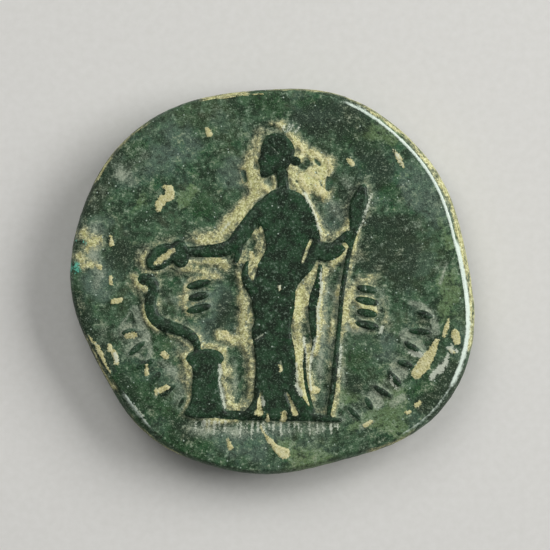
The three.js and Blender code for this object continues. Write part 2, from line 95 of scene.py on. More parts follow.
# Sandy earth, packed against the relief and crumbling away outwards.
PACKED_EARTH = {
    "before the face": [
        (-0.86, 12.07, 0.16), (-1.18, 11.27, 0.2), (-1.5, 10.47, 0.28), (-1.74, 9.67, 0.36),
        (-1.82, 8.87, 0.64), (-1.58, 8.23, 0.88), (-1.02, 7.59, 0.72), (-0.38, 7.27, 0.36),
    ],
    "over the crown": [(-0.94, 11.91, 0.2), (-0.46, 12.07, 0.2)],
    "over the crown, right": [(-0.06, 12.55, 0.16), (0.58, 12.47, 0.24), (0.9, 12.31, 0.16)],
    "along the hair": [(1.46, 11.75, 0.2), (1.94, 11.11, 0.36), (2.5, 10.39, 0.4), (2.18, 9.83, 0.32)],
    "behind the neck": [
        (1.54, 8.71, 0.48), (1.94, 8.07, 0.72), (2.58, 7.91, 0.8), (3.38, 8.23, 0.88), (3.78, 8.71, 0.72),
        (4.26, 9.35, 0.48),
    ],
    "behind the neck, high": [
        (2.74, 10.47, 0.16), (3.14, 10.15, 0.32), (3.7, 9.83, 0.4), (4.26, 9.51, 0.48),
        (4.66, 9.35, 0.28),
    ],
    "behind the neck, low": [(3.3, 7.91, 0.56), (3.78, 7.43, 0.48), (4.18, 7.11, 0.36), (4.18, 6.79, 0.24)],
    "left shoulder": [
        (-0.86, 7.43, 0.48), (-1.66, 6.63, 0.52), (-2.38, 5.83, 0.52), (-3.1, 5.03, 0.52),
        (-3.74, 4.23, 0.48), (-4.3, 3.59, 0.44),
    ],
    "over the forearm": [(-4.3, 3.59, 0.44), (-5.18, 3.43, 0.48), (-6.06, 3.35, 0.44), (-6.78, 3.43, 0.28)],
    "beside the dish": [
        (-10.06, 2.55, 0.04), (-10.38, 1.99, 0.2), (-10.38, 1.35, 0.2), (-10.06, 0.79, 0.12),
    ],
    "under the forearm": [(-6.46, 1.59, 0.12), (-5.42, 1.51, 0.24), (-4.3, 1.51, 0.28), (-3.5, 1.19, 0.2)],
    "under the hand": [(-7.42, 0.71, 0.12), (-6.46, 1.03, 0.24), (-5.42, 0.71, 0.2), (-4.38, 0.39, 0.16)],
    "right shoulder": [
        (2.18, 7.27, 0.32), (2.66, 6.71, 0.28), (3.14, 5.83, 0.32), (3.62, 4.71, 0.36),
        (4.02, 3.59, 0.36),
    ],
    "crook of the arm": [(4.1, 3.75, 0.36), (4.74, 3.59, 0.36), (5.54, 4.07, 0.32), (6.1, 4.71, 0.2)],
    "sleeve": [
        (-1.58, 4.15, 0.08), (-1.18, 3.27, 0.2), (-0.86, 2.31, 0.44), (-1.34, 1.51, 0.52),
        (-1.82, 0.71, 0.24),
    ],
    "sleeve wedge": [(-0.86, 4.23, 0.12), (-0.86, 3.27, 0.24), (-0.86, 2.47, 0.32)],
    "sleeve left": [(-2.14, 2.31, 0.16), (-2.54, 1.67, 0.16), (-2.7, 1.03, 0.12)],
    "mantle groove": [(2.98, 3.43, 0.2), (2.66, 2.47, 0.28), (2.26, 1.27, 0.2)],
    "by the sceptre hand": [
        (6.1, 3.75, 0.12), (6.18, 3.27, 0.2), (5.62, 2.15, 0.2), (4.9, 1.35, 0.24), (4.18, 0.71, 0.2),
    ],
    "long groove": [
        (3.62, 1.35, 0.16), (2.98, 0.23, 0.36), (2.34, -0.73, 0.48), (2.18, -1.93, 0.56),
        (1.94, -3.53, 0.6), (2.02, -5.13, 0.44), (2.1, -6.65, 0.32), (2.26, -7.93, 0.32),
        (2.58, -9.13, 0.24), (2.9, -9.93, 0.16),
    ],
    "second groove": [
        (3.86, 0.87, 0.2), (3.86, -0.73, 0.24), (3.78, -2.65, 0.32), (3.62, -4.33, 0.24),
        (3.38, -5.69, 0.16),
    ],
    "mantle groove low": [
        (2.74, -5.13, 0.12), (2.82, -6.33, 0.16), (3.06, -7.93, 0.16), (3.3, -9.37, 0.16),
    ],
    "left of the dress": [
        (-2.78, 0.87, 0.12), (-2.62, -0.33, 0.16), (-2.3, -1.53, 0.28), (-2.22, -2.73, 0.44),
        (-2.3, -3.93, 0.48), (-2.22, -5.13, 0.28), (-1.82, -6.33, 0.12), (-1.82, -7.93, 0.08),
        (-1.9, -9.21, 0.08), (-2.38, -9.93, 0.16), (-3.02, -10.17, 0.16),
    ],
    "cross bar": [(-1.82, -4.81, 0.24), (-2.62, -4.57, 0.32), (-3.58, -4.57, 0.28), (-4.22, -4.41, 0.24)],
    "right of the altar": [
        (-3.9, -6.65, 0.28), (-3.74, -7.45, 0.36), (-3.9, -8.01, 0.24), (-3.66, -8.73, 0.36),
        (-3.5, -9.69, 0.36), (-2.78, -10.25, 0.12),
    ],
    "over the altar": [
        (-6.94, -5.69, 0.16), (-6.38, -5.29, 0.16), (-5.58, -5.13, 0.16), (-4.7, -5.13, 0.16),
        (-3.98, -5.45, 0.16),
    ],
    "left of the altar": [
        (-7.1, -5.77, 0.24), (-6.94, -6.57, 0.36), (-6.78, -7.45, 0.44), (-6.78, -8.25, 0.32),
        (-6.86, -8.89, 0.12),
    ],
    "left of the serpent": [
        (-10.7, -0.57, 0.08), (-10.38, -1.53, 0.08), (-10.22, -2.49, 0.2), (-9.82, -3.29, 0.16),
        (-9.18, -3.93, 0.04),
    ],
    "under the serpent": [(-7.42, -4.57, 0.04), (-6.78, -5.13, 0.16)],
    "serpent's mouth": [(-11.1, 0.47, 0.2), (-10.86, -0.25, 0.24), (-10.14, -0.73, 0.2)],
    "over the serpent": [(-7.34, -3.21, 0.04), (-6.62, -3.77, 0.08), (-5.82, -4.41, 0.16)],
    "right of the sceptre": [
        (6.98, 4.23, -0.12), (6.66, 3.27, 0.04), (6.42, 2.07, 0.08), (6.18, 0.47, 0), (6.02, -0.73, 0.16),
        (5.94, -1.93, 0.32), (5.78, -3.29, 0.28), (5.54, -4.73, 0),
    ],
    "low right of the sceptre": [
        (5.38, -7.45, 0.08), (5.22, -8.57, 0.12), (4.98, -9.69, 0.16), (4.74, -10.65, 0.12),
    ],
    "left of the sceptre": [(5.3, -0.33, 0.08), (4.9, -2.33, 0.08), (4.58, -4.73, 0.12)],
    "around the first mark": [
        (-6.86, -0.57, 0.08), (-7.02, -1.21, 0.24), (-7.1, -2.01, 0.24), (-6.62, -2.65, 0.16),
    ],
    "over the first mark": [(-6.62, 0.23, 0.08), (-5.82, 0.39, 0.12), (-5.02, 0.07, 0.04)],
    "left of the second mark": [
        (6.34, -0.41, 0.2), (6.1, -1.21, 0.28), (5.94, -2.17, 0.32), (6.18, -3.13, 0.24),
        (6.66, -3.77, 0.2),
    ],
    "over the second mark": [(6.82, 0.07, 0.16), (7.46, 0.23, 0.2), (8.18, 0.15, 0.12)],
    "in the second mark": [(7.3, -1.77, 0.4), (7.78, -2.01, 0.52), (8.26, -2.25, 0.32)],
    "right of the second mark": [
        (8.82, -1.53, 0.04), (8.98, -2.49, 0), (8.98, -3.29, 0.2), (8.9, -3.93, 0.08),
    ],
    "left cluster": [(-15.1, 3.75, 0.32), (-14.62, 3.27, 0.4), (-14.06, 3.27, 0.32), (-14.78, 2.79, 0.24)],
    "left cluster low": [(-15.42, 1.99, 0.24), (-15.1, 1.35, 0.24), (-14.54, 1.43, 0.16)],
    "over the ground line": [
        (-5.18, -11.45, 0.2), (-4.54, -11.13, 0.32), (-3.9, -11.21, 0.32), (-3.1, -11.13, 0.24),
    ],
}

# Where the patina shows through the earth.
BARE_SPOTS = {
    "behind the knot of hair": [(3.46, 9.67, 0.12), (3.78, 9.35, 0.16)],
    "by the neck": [(2.26, 9.27, 0.16), (2.58, 9.11, 0.12)],
    "in the middle": [(3.46, 8.71, 0.12), (3.62, 8.55, 0.08)],
    "low by the neck": [(1.94, 7.99, 0.12), (2.1, 7.83, 0.08)],
    "crease": [(2.98, 8.31, 0.06), (3.06, 7.75, 0.06)],
    "second crease": [(3.7, 8.15, 0.06), (3.94, 7.59, 0.06)],
    "notch": [(4.5, 8.23, 0.16), (4.42, 7.43, 0.2)],
    "before the chin": [(-2.3, 8.71, 0.2), (-2.14, 8.07, 0.16)],
}

# Cream lime crusts with a clear edge.
CRUSTS = {
    "upper left curl": [
        (-8.54, 7.51, 0.2), (-8.22, 7.35, 0.36), (-8.22, 6.87, 0.32), (-8.7, 6.55, 0.32),
        (-9.02, 6.15, 0.36), (-9.1, 5.75, 0.28),
    ],
    "upper left speck": [(-5.18, 12.15, 0.2), (-5.02, 11.75, 0.24)],
    "clod by the neck": [(2.26, 8.47, 0.16), (2.42, 7.83, 0.28), (2.9, 7.19, 0.2)],
    "clod behind the neck": [(3.06, 8.71, 0.24), (3.62, 8.31, 0.2)],
    "clod, right": [(4.34, 9.75, 0.2), (4.66, 9.11, 0.24), (4.5, 8.55, 0.12)],
    "clod, high": [(3.06, 10.47, 0.12), (3.78, 9.91, 0.2)],
    "clod, low": [(3.46, 7.67, 0.24), (4.1, 7.03, 0.24), (4.02, 6.47, 0.08)],
    "clod by the hair": [(2.02, 11.11, 0.12), (2.42, 10.39, 0.24)],
    "clod before the chin": [(-0.86, 7.75, 0.2), (-0.38, 7.27, 0.2)],
    "small cream": [(6.1, 9.67, 0.16), (6.34, 9.43, 0.16)],
    "pit, upper right": [(9.7, 10.47, 0.12), (9.94, 10.07, 0.2), (10.18, 9.67, 0.24), (10.42, 9.19, 0.16)],
    "exergue scratch": [
        (-0.94, -11.53, 0.12), (-0.54, -12.33, 0.16), (-0.06, -12.89, 0.16), (0.42, -13.45, 0.24),
        (0.9, -13.69, 0.44),
    ],
    "exergue lozenge": [(-3.5, -12.65, 0.16), (-3.34, -13.29, 0.2)],
    "right groove": [(13.14, -4.73, 0.2), (12.66, -5.69, 0.36), (12.18, -6.57, 0.48), (11.54, -7.29, 0.48)],
    "right tick": [(14.1, -2.89, 0.12), (13.94, -3.61, 0.16), (13.7, -4.33, 0.12)],
    "right nugget": [(14.58, -4.17, 0.32), (14.74, -4.81, 0.28)],
    "right pale specks": [(14.26, -5.45, 0.2), (14.42, -5.61, 0.16)],
    "edge tan high": [
        (-4.7, 14.71, 0.08), (-3.82, 14.87, 0.2), (-2.78, 15.03, 0.28), (-1.82, 15.11, 0.24),
        (-0.86, 15.03, 0.12),
    ],
    "left dots": [(-13.9, 1.19, 0.12), (-13.74, 1.11, 0.12)],
    "left small": [(-12.94, 0.39, 0.12), (-12.94, -0.17, 0.12)],
    "left tick": [(-12.94, 3.59, 0.08), (-12.86, 2.95, 0.12)],
    "left lozenge": [(-11.58, -4.41, 0.2), (-10.94, -4.25, 0.2)],
    "left lozenge high": [(-12.78, -1.61, 0.16), (-12.14, -1.45, 0.2)],
    "left lozenge low": [(-9.26, -8.81, 0.2), (-8.46, -8.49, 0.24)],
    "left small low": [(-8.7, -5.77, 0.2), (-8.54, -6.01, 0.2)],
    "left speck": [(-10.06, -6.73, 0.12), (-10.06, -7.37, 0.16)],
    "left rim crust": [(-13.02, -5.13, 0.16), (-12.94, -5.45, 0.16)],
    "left rim triangle": [(-12.7, -5.61, 0.16), (-12.54, -6.09, 0.2), (-12.46, -6.49, 0.16)],
    "dress nick": [(0.5, -0.33, 0.12), (0.58, -0.57, 0.12)],
    "dress triangle": [(0.58, -6.73, 0.12), (0.66, -7.05, 0.2)],
    "hem wedge": [(1.22, -8.97, 0.08), (1.46, -9.61, 0.12), (1.78, -10.49, 0.2)],
    "hem triangle": [(-0.94, -8.89, 0.08), (-1.02, -9.69, 0.12), (-1.02, -10.49, 0.32)],
    "hem tick": [(-0.38, -10.65, 0.16), (-0.38, -11.13, 0.16)],
    "hem small": [(0.9, -10.57, 0.28), (0.9, -11.05, 0.28)],
    "by the hem": [(3.22, -8.65, 0.28), (3.46, -8.73, 0.32)],
    "dish slot": [(-9.34, 1.51, 0.2), (-8.62, 1.99, 0.24), (-7.98, 2.47, 0.2)],
    "right small": [(11.46, -9.85, 0.16), (11.78, -9.61, 0.12)],
    "low right crust": [(7.38, -11.53, 0.12), (7.86, -11.21, 0.16)],
    "low right specks": [(10.74, -10.49, 0.16), (10.98, -10.41, 0.16)],
    "edge streak low": [(8.9, -13.29, 0.12), (10.02, -12.89, 0.12), (11.06, -12.41, 0.12)],
    "edge streak left": [
        (-14.7, -4.41, 0.08), (-13.98, -5.13, 0.16), (-13.5, -6.33, 0.12), (-13.02, -7.45, 0.08),
    ],
    "by the arm": [(-1.66, 2.23, 0.2), (-1.5, 1.83, 0.16)],
    "pale by the cross bar": [(-3.82, -4.17, 0.28), (-3.5, -4.49, 0.28)],
}

# White lime in thin seams, and painted highlights: pale lines on the walls of the torso, the altar and the
# sceptre that face the light, and on the lower left shoulder of the rim.
LIME_SEAMS_AND_HIGHLIGHTS = {
    "right of the torso": [
        (2.5, 7.11, 0.12), (2.98, 6.31, 0.12), (3.46, 5.19, 0.1), (3.78, 4.07, 0.1), (3.94, 3.43, 0.08),
    ],
    "right of the altar": [
        (-4.22, -6.65, 0.08), (-4.14, -7.29, 0.16), (-4.22, -7.93, 0.08), (-4.06, -8.65, 0.2),
        (-3.9, -9.37, 0.16), (-3.82, -10.09, 0.12),
    ],
    "right of the sceptre": [
        (7.86, 6.95, 0.06), (7.62, 5.99, 0.08), (7.22, 4.79, 0.06), (6.82, 3.91, 0.06),
    ],
    "low right of the sceptre": [(5.46, -5.13, 0.08), (5.38, -6.33, 0.08), (5.3, -7.61, 0.1)],
    "fold": [
        (3.86, 0.87, 0.08), (3.9, -0.89, 0.1), (3.62, -2.49, 0.1), (3.7, -4.09, 0.08), (3.3, -5.21, 0.08),
        (3.06, -6.33, 0.08), (2.98, -7.61, 0.08), (3.06, -8.57, 0.08),
    ],
    "fold, inner": [(2.5, -4.49, 0.08), (2.66, -5.69, 0.06), (2.82, -7.13, 0.06)],
    "foot of the long groove": [(1.94, -6.57, 0.08), (1.98, -8.41, 0.16), (2.26, -8.97, 0.2)],
    "hem": [(-0.86, -9.21, 0.12), (-0.7, -9.85, 0.16)],
    "right mark, foot": [(8.82, -3.61, 0.16), (8.66, -4.01, 0.16)],
    "pale lozenge": [(10.9, -5.61, 0.12), (11.38, -5.77, 0.2), (11.86, -5.85, 0.16)],
    "scratch, exergue": [(-0.86, -11.45, 0.1), (-0.38, -12.25, 0.08)],
    "lower left shoulder": [
        (-11.58, -9.53, 0.06), (-11.02, -9.93, 0.08), (-10.46, -10.65, 0.08), (-9.9, -11.69, 0.06),
    ],
    "by the left shoulder": [(-3.42, 4.71, 0.08), (-4.06, 3.91, 0.08)],
    "pit": [(9.7, 10.47, 0.08), (10.02, 9.99, 0.12), (10.34, 9.35, 0.12)],
    "right legend": [
        (14.02, -5.85, 0.12), (13.86, -6.41, 0.16), (13.46, -6.97, 0.32), (13.06, -7.29, 0.16),
        (12.74, -7.69, 0.2),
    ],
    "right legend, high": [(13.86, -5.29, 0.08), (14.26, -5.37, 0.2), (14.74, -5.53, 0.08)],
    "right legend, spike": [(14.34, -5.05, 0.08), (14.34, -5.77, 0.08)],
    "grey disc": [(9.46, -7.61, 0.08), (9.54, -8.17, 0.12), (9.94, -8.49, 0.12)],
    "left rim triangle": [(-12.62, -5.77, 0.12), (-12.46, -6.33, 0.16)],
    "dress nick": [(0.5, -0.33, 0.12), (0.58, -0.57, 0.08)],
}

# Grey film of fine soil.
FILM = {
    "grey patch, upper left": [
        (-12.14, 8.71, 0.28), (-11.74, 8.39, 0.32), (-11.42, 8.71, 0.24), (-11.18, 8.07, 0.24),
    ],
    "film by the serpent": [
        (-9.82, -1.53, 0.2), (-8.62, -1.53, 0.2), (-7.42, -1.53, 0.2), (-7.74, -2.81, 0.12),
    ],
    "film under the arm": [(-5.82, 0.71, 0.2), (-4.62, 0.87, 0.2), (-3.74, 0.07, 0)],
    "between the altar and the dress": [(-3.26, -5.53, 0.2), (-2.94, -7.53, 0.12), (-2.94, -9.13, 0.12)],
    "left of the altar": [
        (-7.1, -5.69, 0.2), (-6.94, -7.29, 0.32), (-7.1, -8.89, 0.32), (-7.42, -10.17, 0.2),
    ],
    "pale diagonal": [(12.9, -7.69, 0.24), (13.38, -7.13, 0.32), (13.86, -6.57, 0.28)],
    "left low band": [
        (-9.02, -6.33, 0.24), (-7.74, -7.29, 0.32), (-7.26, -8.73, 0.32), (-7.26, -10.17, 0.24),
    ],
    "left film": [(-14.22, 4.39, 0.56), (-14.46, 2.47, 0.64), (-13.82, 0.47, 0.44), (-14.14, -0.89, 0.16)],
    "behind the head": [(4.58, 6.47, 0.16), (5.22, 5.27, 0.16), (5.78, 4.47, 0.12)],
    "beyond the earth": [(5.62, 8.23, 0.2), (6.1, 7.75, 0.24), (6.34, 7.27, 0.12)],
    "strip between folds": [
        (4.26, -0.73, 0.32), (4.18, -2.33, 0.32), (3.94, -4.73, 0.32), (3.78, -7.13, 0.28),
        (3.94, -9.13, 0.24),
    ],
    "right of the low sceptre": [(5.7, -5.69, 0.08), (5.7, -7.93, 0.12), (5.54, -9.85, 0.08)],
    "right film": [(13.06, 0.87, 0.2), (13.46, 1.51, 0.2)],
    "exergue film": [
        (-6.62, -11.77, 0.32), (-5.42, -11.93, 0.48), (-3.42, -11.93, 0.48), (-1.18, -12.09, 0.32),
        (3.78, -11.77, 0.32),
    ],
    "beside the second mark": [(8.58, -0.73, 0.24), (8.74, -1.53, 0.24), (9.22, -2.97, 0.24)],
    "under the second mark": [(5.86, -3.61, 0.32), (6.66, -3.85, 0.32), (7.62, -3.77, 0.24)],
}

# The same film where it is even and has a clear edge.
VEILS = {
    "crescent, right legend": [
        (10.98, -1.69, 0.24), (11.78, -1.93, 0.32), (12.42, -2.41, 0.32), (12.9, -3.05, 0.32),
        (13.14, -4.01, 0.32),
    ],
    "grey area, right legend": [(10.66, -4.25, 0.56), (11.22, -4.89, 0.64), (11.86, -5.53, 0.56)],
    "grey disc": [(10.02, -6.81, 0.68), (10.18, -7.21, 0.68)],
    "grey oval": [(9.62, -9.77, 0.36), (10.42, -9.21, 0.36)],
    "grey disc low": [(8.02, -9.13, 0.52), (8.42, -9.69, 0.52)],
    "left legend band": [(-11.1, -2.01, 0.16), (-11.58, -2.81, 0.16), (-12.3, -3.77, 0.12)],
    "left legend band right": [(-10.94, -2.25, 0.36), (-10.54, -3.29, 0.4), (-10.06, -4.41, 0.36)],
    "left legend middle": [(-9.9, -4.73, 0.24), (-9.74, -5.69, 0.24), (-10.06, -6.33, 0.2)],
    "left legend foot": [(-11.82, -5.69, 0.16), (-11.1, -5.61, 0.2), (-10.46, -6.09, 0.2)],
    "right field": [(13.62, 0.71, 0.12), (13.94, 1.51, 0.12), (13.38, -0.25, 0.12)],
    "exergue, right": [(7.14, -11.61, 0.28), (7.94, -11.21, 0.28)],
}

# Tones of the patina: nearly black, clear green, olive and smoky grey. The dark tone also holds painted shade
# along the left rim, the side away from the light.
DARK_PATINA_AND_SHADE = {
    "upper right": [(7.46, 9.83, 0.72), (8.9, 8.71, 0.88)],
    "right of the patch": [(4.82, 8.39, 0.32), (4.66, 7.11, 0.4), (5.22, 7.75, 0.32)],
    "sceptre head": [(5.78, 7.27, 0.88), (6.18, 6.07, 0.96), (5.7, 4.71, 0.72)],
    "right of sceptre": [(7.62, 4.47, 1.28), (9.78, 3.67, 1.76), (10.58, 1.51, 1.6), (7.94, 1.99, 1.2)],
    "right edge low": [(14.02, -7.29, 0.56), (13.38, -8.89, 0.64), (12.42, -10.01, 0.48)],
    # painted shade: the left rim and edge, on the side away from the light
    "rim left": [(-15.74, -1.53, 0.4), (-15.1, -3.53, 0.48), (-14.3, -5.53, 0.56), (-13.5, -7.29, 0.48)],
    "rim upper left": [
        (-12.22, 10.63, 0.4), (-13.82, 8.07, 0.64), (-15.1, 5.19, 0.4), (-15.74, 2.47, 0.24),
    ],
    "low left": [(-11.74, -8.09, 0.4), (-10.62, -9.37, 0.56), (-9.66, -10.33, 0.48)],
    "exergue, left": [(-8.22, -10.97, 0.48), (-7.1, -11.93, 0.64)],
    "upper left": [(-10.3, 10.79, 0.48), (-11.26, 9.67, 0.4)],
    "under the arm": [(-4.06, -0.25, 0.32), (-3.58, -1.37, 0.24), (-4.54, -3.93, 0.24)],
    "left of the dish": [(-12.38, 1.51, 0.72), (-11.26, 2.47, 0.56), (-10.62, 1.51, 0.4)],
    "low right": [(6.34, -8.57, 0.72), (8.26, -9.37, 0.48), (10.34, -7.29, 0.4)],
    "right legend": [(10.82, -3.13, 0.64), (11.94, -3.29, 0.56), (12.58, -4.25, 0.48)],
    "left legend": [(-11.1, -3.29, 0.64), (-10.62, -5.13, 0.4)],
    "over the head": [(2.18, 12.87, 0.56), (4.58, 13.03, 0.8), (6.34, 12.71, 0.56)],
}

GREEN_PATINA = {
    "upper right": [(6.18, 11.27, 0.48), (7.46, 11.43, 0.64), (8.74, 11.11, 0.56)],
    "right field": [(9.06, 7.43, 0.64), (10.02, 6.79, 0.72)],
    "under the second mark": [(6.34, -5.05, 0.8), (7.14, -5.69, 0.88), (6.18, -6.49, 0.64)],
    "exergue left": [
        (-8.22, -10.81, 0.96), (-7.1, -11.93, 1.04), (-7.74, -12.73, 0.8), (-5.82, -13.69, 0.8),
    ],
    "low left": [(-11.74, -7.93, 0.8), (-10.62, -9.21, 0.88), (-9.66, -10.33, 0.72)],
    "right of the first mark": [(-4.06, -1.53, 0.48), (-4.38, -2.49, 0.4)],
    "low right": [(11.78, -9.05, 0.64), (12.58, -8.25, 0.56)],
    "upper left": [(-10.46, 10.79, 0.64), (-11.26, 9.67, 0.48)],
    "top": [(-1.02, 14.47, 0.8), (2.18, 14.15, 0.72)],
    "right edge low": [(13.7, -7.61, 0.56), (12.9, -8.89, 0.56), (11.78, -9.85, 0.48)],
    "over the arm": [(-5.34, 6.15, 0.96), (-3.9, 6.79, 0.8)],
    "low middle": [(-9.82, -3.93, 0.48), (-8.62, -5.37, 0.48)],
}

OLIVE_PATINA = {
    "high right": [(7.94, 11.91, 0.48), (8.58, 11.75, 0.48), (9.7, 11.43, 0.36)],
    "right edge": [(13.54, 4.87, 0.4), (13.78, 3.91, 0.48), (14.02, 3.11, 0.48)],
    "right edge, middle": [(14.18, -0.25, 0.64), (14.18, -1.37, 0.88), (14.02, -2.33, 0.56)],
    "exergue right": [(8.26, -10.97, 0.64), (6.98, -11.45, 0.72), (9.78, -10.65, 0.64)],
    "exergue low": [(2.18, -13.69, 1.04), (3.94, -14.17, 0.96), (0.58, -13.05, 0.64)],
    "right legend low": [(8.9, -8.41, 0.64), (9.86, -9.21, 0.48), (6.18, -9.37, 0.56)],
    "field left": [(-6.94, 6.47, 0.72), (-6.46, 7.11, 0.56)],
    "left field": [(-10.62, 6.47, 0.32), (-10.78, 5.99, 0.32)],
}

SMOKY_PATINA = {
    "top left": [(-8.22, 12.07, 1.04), (-7.42, 10.87, 1.36), (-8.38, 10.07, 1.04)],
    "top": [(2.18, 13.51, 0.96), (3.62, 13.03, 0.72)],
    "over the arm": [(-2.94, 8.87, 0.64)],
    "crook": [(4.9, 4.71, 0.8), (5.54, 5.35, 0.56)],
    "right, grey brown": [(10.98, 8.23, 0.88), (11.78, 6.79, 0.88), (12.42, 5.27, 0.72)],
    "low right": [(6.18, -3.93, 0.56), (8.26, -5.53, 0.72), (9.54, -4.73, 0.72)],
    "exergue": [(-4.22, -12.73, 1.2), (-1.82, -13.21, 1.2), (1.38, -12.09, 0.8)],
    "between the folds": [(3.94, -1.53, 0.4), (3.94, -3.93, 0.48), (3.62, -5.69, 0.48)],
    "left edge": [(-14.62, 3.67, 1.04), (-14.14, 1.67, 0.88), (-14.46, -0.33, 0.72)],
    "between the marks": [(-5.42, -1.53, 0.96), (-3.74, -1.53, 0.56), (-5.82, -3.93, 0.64)],
}

# Short pale scratches side by side: from, to, length, how far apart, and the point they fan out from.
SCRATCH_ROWS = {
    "under the ground line": ((-6.1, -11.6), (5.6, -11.65), 1.1, 0.36, (0.0, 60.0)),
    "over the crown": ((0.8, 12.45), (2.3, 12.1), 0.6, 0.32, (0.2, 10.0)),
}

# Painted highlight on the edge: a pale strip laid on the shoulder where the light would glance off it, where
# the shoulder is also rubbed glossy; and earth on the edge: from, to in degrees, then the bands of the edge,
# then how much.
SHOULDER_HIGHLIGHT = [
    (10, 58, -0.6, 0.3, 1.0),
    (-12, 12, -0.1, 0.8, 1.0),
    (-30, -10, 0.4, 1.5, 0.8),
    (-50, -28, 1.0, 1.4, 0.3),
    (56, 68, -1.0, 0.6, 0.5),
    (216, 230, 0.0, 0.6, 0.5),
]
ROLL_WIDTH, ROLL_DEPTH = 0.55, 0.07  # how the face rolls over into the shoulder
EDGE_EARTH = [
    (-20, 62, 1.6, 6.5, 1.0),
    (60, 92, 2.6, 5.0, 0.85),
    (96, 112, -0.8, 4.0, 1.0),
    (126, 152, 1.6, 4.4, 0.95),
    (194, 216, 1.6, 3.8, 0.85),
    (222, 246, 3.4, 5.4, 0.85),
    (298, 314, 2.4, 4.4, 0.9),
]
VERDIGRIS = {"left edge": [(-15.72, 1.3, 0.2), (-15.64, 1.0, 0.24)], "left cluster": [(-15.0, 3.1, 0.08)]}

# ---------------------------------------------------------------- reading the solid

SOLID_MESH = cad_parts[SOLID].data
TREE = BVHTree.FromPolygons(
    [tuple(v.co) for v in SOLID_MESH.vertices], [tuple(p.vertices) for p in SOLID_MESH.polygons]
)

GRID_X = np.arange(LOW[0] - MARGIN, HIGH[0] + MARGIN, CELL)
GRID_Y = np.arange(LOW[1] - MARGIN, HIGH[1] + MARGIN, CELL)
X, Y = np.meshgrid(GRID_X, GRID_Y)


def skin_heights(start, direction, fallback):
    """Height of the solid's skin under each grid point, met from start along direction (+1 up, -1 down)."""
    heights = np.full(X.shape, fallback)
    ray = Vector((0, 0, direction))
    for (row, column), x in np.ndenumerate(X):
        hit = TREE.ray_cast(Vector((x * MM, Y[row, column] * MM, start * MM)), ray)[0]
        if hit is not None:
            heights[row, column] = hit.z / MM
    return heights


def edge_radius(angle, height):
    """Distance from the axis to the solid's edge, in one direction at one height."""
    outward = Vector((math.cos(angle), math.sin(angle), 0))
    far = outward * 2 * HIGH[0] * MM
    hit = TREE.ray_cast(Vector((far.x, far.y, height * MM)), -outward)[0]
    return math.hypot(hit.x, hit.y) / MM


# ---------------------------------------------------------------- fields on the grid


def blur(values, reach, wrap=False):
    """values softened by a Gaussian with a standard deviation of reach, in millimetres."""
    spread = reach / CELL
    half = max(1, math.ceil(3 * spread))
    taps = np.exp(-0.5 * (np.arange(-half, half + 1) / spread) ** 2)
    taps /= taps.sum()
    for axis in (0, 1):
        widths = [(0, 0), (0, 0)]
        widths[axis] = (half, half)
        padded = np.pad(values, widths, mode="wrap" if wrap else "edge")
        count = values.shape[axis]
        values = sum(
            tap * np.take(padded, range(i, i + count), axis=axis) for i, tap in enumerate(taps)
        )
    return values


def cloud(size, seed):
    """Even random unevenness of about that size: mean 0, deviation 1."""
    values = blur(np.random.default_rng(seed).standard_normal(X.shape), size / 2, wrap=True)
    return (values - values.mean()) / values.std()


def clouds(sizes, seed):
    """The sum of clouds of several sizes, the larger ones stronger, deviation about 1."""
    total = sum(size**0.5 * cloud(size, seed + i) for i, size in enumerate(sizes))
    return total / total.std()


def ease(low, high, values):
    """0 below low, 1 above high and smooth between."""
    share = np.clip((values - low) / (high - low), 0, 1)
    return share * share * (3 - 2 * share)


def heap(values, slope):
    """values with the ground beside what stands up filled to a bank of that slope."""
    steps = [(i, j) for i in (-1, 0, 1) for j in (-1, 0, 1) if i or j]
    for _ in range(math.ceil(values.max() / (slope * CELL))):
        for step in steps:
            values = np.maximum(values, np.roll(values, step, (0, 1)) - slope * CELL * math.hypot(*step))
    return values


def inside_line(line):
    """How far each grid point lies inside a line of (x, y, half width): positive within, negative outside."""
    depth = np.full(X.shape, -9.0)
    for (x0, y0, w0), (x1, y1, w1) in zip(line, line[1:] or line):
        along = (x1 - x0, y1 - y0)
        length = max(along[0] ** 2 + along[1] ** 2, 1e-9)
        share = np.clip(((X - x0) * along[0] + (Y - y0) * along[1]) / length, 0, 1)
        away = np.hypot(X - x0 - share * along[0], Y - y0 - share * along[1])
        depth = np.maximum(depth, w0 + (w1 - w0) * share - away)
    return depth


def inside_any(lines):
    return np.maximum.reduce([inside_line(line) for line in lines.values()])


def haze(lines, seed):
    """0 to 1: soft, uneven patches over lines."""
    return ease(-0.9, 0.5, inside_any(lines) + 0.4 * clouds([1.6, 0.7], seed))


def scratches():
    """How far each grid point lies inside the rows of short scratches, which differ in length and width."""
    hand = np.random.default_rng(83)
    marks = {}
    for name, (start, end, length, pitch, fan) in SCRATCH_ROWS.items():
        for share in np.arange(0, 1, pitch / math.dist(start, end)):
            x, y = (a + (b - a) * share for a, b in zip(start, end))
            away = np.array([x - fan[0], y - fan[1]]) / math.dist((x, y), fan)
            reach = length * hand.uniform(0.25, 0.6) * away
            middle = np.array([x, y]) + hand.normal(0, 0.12, 2)
            width = hand.uniform(0.03, 0.1)
            marks[f"{name} {share}"] = [(*(middle - reach), width), (*(middle + reach), width - 0.03)]
    return inside_any(marks)


# ---------------------------------------------------------------- the two faces


def rubbed_tops(solid, soft):
    """1 where the relief stands up, 0 in the field and in the grooves that are cut into the relief."""
    groove = blur(solid, GROOVE_REACH) - solid
    return blur(ease(0.05, 0.12, solid) * ease(0.07, 0.03, groove), soft)


